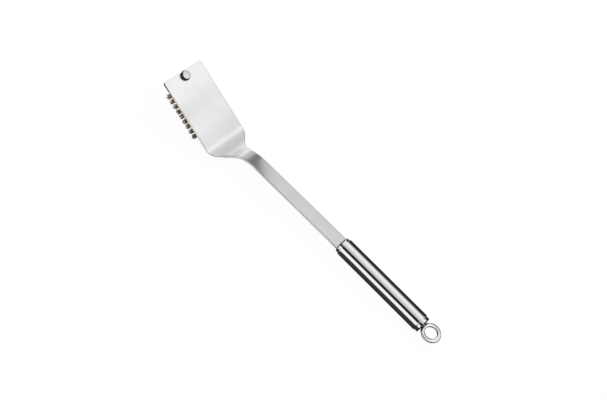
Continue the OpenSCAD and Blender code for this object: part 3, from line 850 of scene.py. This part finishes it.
# ---------------------------------------------------------------- who rides what, and which CAD node each piece stands for
for piece, body, nodes, slot_name in [
    (blade, "grip", ["blade"], "satin_steel"),
    (hook, "grip", ["rear_hook"], "satin_steel"),
    (front_cap, "grip", ["front_cap"], "polished_steel"),
    (tube, "grip", ["handle_tube"], "polished_steel"),
    (rear_cap, "grip", ["rear_cap"], "polished_steel"),
    (ring, "grip", ["hanging_ring"], "polished_steel"),
    (carrier, "insert", ["carrier_plate"], "satin_steel"),
    (block, "insert", ["bristle_block"], "black_plastic"),
    (screw_heads, "insert", ["block_screws"], "zinc_steel"),
    (stud, "insert", ["mount_stud"], "zinc_steel"),
    (washer, "washer", ["lock_washer"], "zinc_steel"),
    (nut, "nut", ["thumb_nut"], "chromed_nut"),
] + [(t, "insert", [f"bristle_row_{i + 1}"], "brass") for i, t in enumerate(tufts)]:
    settle(piece)
    del piece["place"]
    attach(piece, body)
    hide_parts(*nodes)

for name, material in (("ring_nut", zinc_cad), ("tuft_staples", brass_inside)):
    o = frame["nodes"][name]
    o.data.materials.clear()
    o.data.materials.append(material)

# ---------------------------------------------------------------- floor
bm = bmesh.new()
bmesh.ops.create_grid(bm, x_segments=8, y_segments=8, size=6.0)
me = bpy.data.meshes.new("floor")
bm.to_mesh(me)
bm.free()
floor = bpy.data.objects.new("floor", me)
bpy.context.scene.collection.objects.link(floor)
floor.location = (0, 0, -0.0002)
fn = Nodes("pale_floor")
fn.b.inputs["Base Color"].default_value = (0.9, 0.9, 0.9, 1)
fn.b.inputs["Roughness"].default_value = 0.9
fn.b.inputs["Specular IOR Level"].default_value = 0.0
glow = fn.new("ShaderNodeEmission")
glow.inputs["Color"].default_value = (1, 1, 1, 1)
glow.inputs["Strength"].default_value = 1.03
half = fn.new("ShaderNodeMixShader")
half.inputs[0].default_value = 0.93
fn.link(fn.b.outputs[0], half.inputs[1])
fn.link(glow.outputs[0], half.inputs[2])
# the table is seen from above only, so the underside of the brush can be looked at too
under = fn.new("ShaderNodeMixShader")
fn.link(fn.new("ShaderNodeNewGeometry").outputs["Backfacing"], under.inputs[0])
fn.link(half.outputs[0], under.inputs[1])
fn.link(fn.new("ShaderNodeBsdfTransparent").outputs[0], under.inputs[2])
fn.link(under.outputs[0], fn.out.inputs[0])
me.materials.append(fn.m)
floor.visible_glossy = False

# white cards lying beside and beyond the head, seen only in the metal
cm = Nodes("card")
lit = cm.new("ShaderNodeEmission")
lit.inputs["Strength"].default_value = 1.0
cm.link(lit.outputs[0], cm.out.inputs[0])
for k, outline in enumerate((
    [(-0.2295, -0.45), (0.047, -0.45), (0.047, -0.0205), (-0.04, -0.022), (-0.075, -0.0285), (-0.105, -0.0265), (-0.118, -0.0295), (-0.137, -0.043), (-0.2295, -0.069)],
    [(-0.55, -0.01), (-0.28, -0.01), (-0.28, 0.4), (-0.55, 0.4)],
)):
    me = bpy.data.meshes.new(f"card_{k + 1}")
    me.from_pydata([(x, y, 0.0) for x, y in outline], [], [tuple(range(len(outline)))])
    card = bpy.data.objects.new(f"card_{k + 1}", me)
    bpy.context.scene.collection.objects.link(card)
    card.location = (0, 0, 0.0001)
    me.materials.append(cm.m)
    for flag in ("camera", "diffuse", "shadow", "transmission", "volume_scatter"):
        setattr(card, "visible_" + flag, False)

def dark_card(name, corners, axis, stops, lean=None):
    """A small soft-edged dark card near the bend of the shaft, seen only in the metal. stops: mm along axis, density."""
    dm = Nodes(name)
    tc = dm.new("ShaderNodeTexCoord")
    sep = dm.new("ShaderNodeSeparateXYZ")
    dm.link(tc.outputs["Object"], sep.inputs[0])
    at = sep.outputs[axis]
    if lean:
        tip = dm.map(sep.outputs[0], lean[0] * MM, lean[1] * MM, lean[2], lean[3], True)
        at = dm.math("ADD", at, dm.math("MULTIPLY", dm.math("SUBTRACT", sep.outputs[1], 0.016), tip))
    lo, hi = stops[0][0], stops[-1][0]
    fade = dm.new("ShaderNodeValToRGB")
    e = fade.color_ramp.elements
    while len(e) > 1:
        e.remove(e[0])
    for i, (k, f) in enumerate(stops):
        q = e[0] if i == 0 else e.new((k - lo) / (hi - lo))
        q.position = (k - lo) / (hi - lo)
        q.color = (f, f, f, 1)
    dm.link(dm.map(at, lo * MM, hi * MM, 0, 1), fade.inputs[0])
    black = dm.new("ShaderNodeEmission")
    black.inputs["Strength"].default_value = 0.0
    clear = dm.new("ShaderNodeBsdfTransparent")
    pick = dm.new("ShaderNodeMixShader")
    dm.link(fade.outputs[0], pick.inputs[0])
    dm.link(clear.outputs[0], pick.inputs[1])
    dm.link(black.outputs[0], pick.inputs[2])
    dm.link(pick.outputs[0], dm.out.inputs[0])
    me = bpy.data.meshes.new(name)
    me.from_pydata([tuple(c * MM for c in p) for p in corners], [], [(0, 1, 2, 3)])
    card = bpy.data.objects.new(name, me)
    bpy.context.scene.collection.objects.link(card)
    turned = Matrix.Identity(4)
    for i in range(3):
        for j in range(3):
            turned[i][j] = float(HANDLE.r[j][i])
        turned[i][3] = float(HANDLE.o[i])
    card.matrix_world = turned
    me.materials.append(dm.m)
    for flag in ("camera", "diffuse", "shadow", "transmission", "volume_scatter"):
        setattr(card, "visible_" + flag, False)


dark_card("card_3", [(x, y, 21 + 0.2 * (x + 125)) for x, y in ((-192, -8), (-104, -8), (-104, 44), (-192, 44))], 0,
          [(-192, 0.0), (-187, 0.03), (-182, 0.20), (-178.5, 0.39), (-175, 0.57), (-172, 0.63), (-168, 0.67), (-165, 0.71), (-161, 0.68), (-157, 0.60), (-150, 0.36), (-147, 0.27), (-139, 0.14), (-128, 0.05), (-115, 0.0)], (-170, -145, 0.0, 1.3))
dark_card("card_4", [(-176, -14, -8), (-176, 30, -8), (-176, 30, 9), (-176, -14, 9)], 2,
          [(-8, 0.0), (-6, 0.03), (-4.5, 0.12), (-2.5, 0.28), (0, 0.42), (3.3, 0.33), (5, 0.2), (7, 0.05), (9, 0.0)])

# ---------------------------------------------------------------- light: two soft panels around a dark studio
world = bpy.data.worlds.new("studio")
bpy.context.scene.world = world
world.use_nodes = True
w = Nodes.__new__(Nodes)
w.t = world.node_tree
w.t.nodes.clear()
wout = w.new("ShaderNodeOutputWorld")
tc = w.new("ShaderNodeTexCoord")
sep = w.new("ShaderNodeSeparateXYZ")
w.link(tc.outputs["Generated"], sep.inputs[0])
X, Y, Z = sep.outputs
turn = w.math("ARCTAN2", Y, Z)


def ramp(stops):
    """Brightness by the direction's angle about the handle, in degrees: 0 is up, negative is the near side."""
    n = w.new("ShaderNodeValToRGB")
    e = n.color_ramp.elements
    while len(e) > 1:
        e.remove(e[0])
    for i, (deg, level) in enumerate(stops):
        q = e[0] if i == 0 else e.new((deg + 180) / 360)
        q.position = (deg + 180) / 360
        q.color = (level / 1.1, level / 1.1, level / 1.1, 1)
    w.link(w.map(turn, -math.pi, math.pi, 0, 1), n.inputs[0])
    return n.outputs[0]


near = [(-180, 0.03), (-108, 0.035), (-103, 0.10), (-91, 0.95), (-80, 1.04), (-69, 1.04), (-63, 0.85)]
over = ramp(near + [(-57, 0.012), (-34, 0.004), (-27, 0.38), (-19, 0.66), (-8, 0.68), (2, 0.77), (12, 0.92), (22, 1.0), (30, 0.94), (38, 0.78), (46, 0.44), (54, 0.16), (63, 0.04), (72, 0.02), (180, 0.02)])
tail = ramp(near + [(-52, 0.5), (-36, 0.55), (-24, 0.88), (0, 1.02), (20, 1.06), (55, 1.06), (75, 0.75), (95, 0.5), (140, 0.3), (160, 0.1), (180, 0.06)])
fore = ramp([(-180, 0.03), (-100, 0.03), (-92, 0.2), (-82, 1.0), (-66, 1.04), (-60, 0.85), (-54, 0.04), (-35, 0.02), (-27, 0.35), (-10, 0.6), (30, 0.68), (40, 0.72), (46, 0.96), (60, 1.0), (85, 1.0), (100, 0.3), (120, 0.05), (180, 0.03)])
level = w.mix(w.map(X, 0.12, 0.4, 0, 1, True), over, tail)
level = w.mix(w.map(X, -0.43, -0.22, 1, 0, True), level, fore)
low = w.math("MULTIPLY", w.map(X, 0.3, 0.55, 0, 0.65, True), w.map(Z, 0.25, 0.55, 1, 0, True))
level = w.math("MULTIPLY", level, w.math("SUBTRACT", 1.0, low))
level = w.math("MULTIPLY", level, 1.1 * 1.30)
bg = w.new("ShaderNodeBackground")
w.link(level, bg.inputs["Strength"])
white = w.new("ShaderNodeBackground")
white.inputs["Strength"].default_value = 0.985
lp = w.new("ShaderNodeLightPath")
pick = w.new("ShaderNodeMixShader")
w.link(lp.outputs["Is Camera Ray"], pick.inputs[0])
w.link(bg.outputs[0], pick.inputs[1])
w.link(white.outputs[0], pick.inputs[2])
w.link(pick.outputs[0], wout.inputs[0])

# ---------------------------------------------------------------- camera
AZ, EL, ROLL = (math.radians(a) for a in (19.8154, 54.3384, 28.4179))
DIST, AIM, SCALE = 1411.27, (-69.147, 0.0, 10.178), 0.830787
v = np.array([math.sin(AZ) * math.cos(EL), -math.cos(AZ) * math.cos(EL), math.sin(EL)])
r = np.cross([0, 0, 1.0], v)
r /= np.linalg.norm(r)
u = np.cross(v, r)
r2 = math.cos(ROLL) * r + math.sin(ROLL) * u
u2 = -math.sin(ROLL) * r + math.cos(ROLL) * u
cam_data = bpy.data.cameras.new("camera")
cam = bpy.data.objects.new("camera", cam_data)
bpy.context.scene.collection.objects.link(cam)
eye = HANDLE.out(np.array(AIM) + v * DIST)
axes = [a @ HANDLE.r for a in (r2, u2, v)]
mat = Matrix.Identity(4)
for i in range(3):
    for j in range(3):
        mat[j][i] = axes[i][j]
    mat[i][3] = eye[i]
cam.matrix_world = mat
cam_data.sensor_fit = "HORIZONTAL"
cam_data.sensor_width = 36.0
cam_data.lens = SCALE * DIST * 36.0 / 607.0
cam_data.clip_end = 50
bpy.context.scene.camera = cam
scene = bpy.context.scene
scene.view_settings.view_transform = "Standard"
scene.view_settings.look = "None"
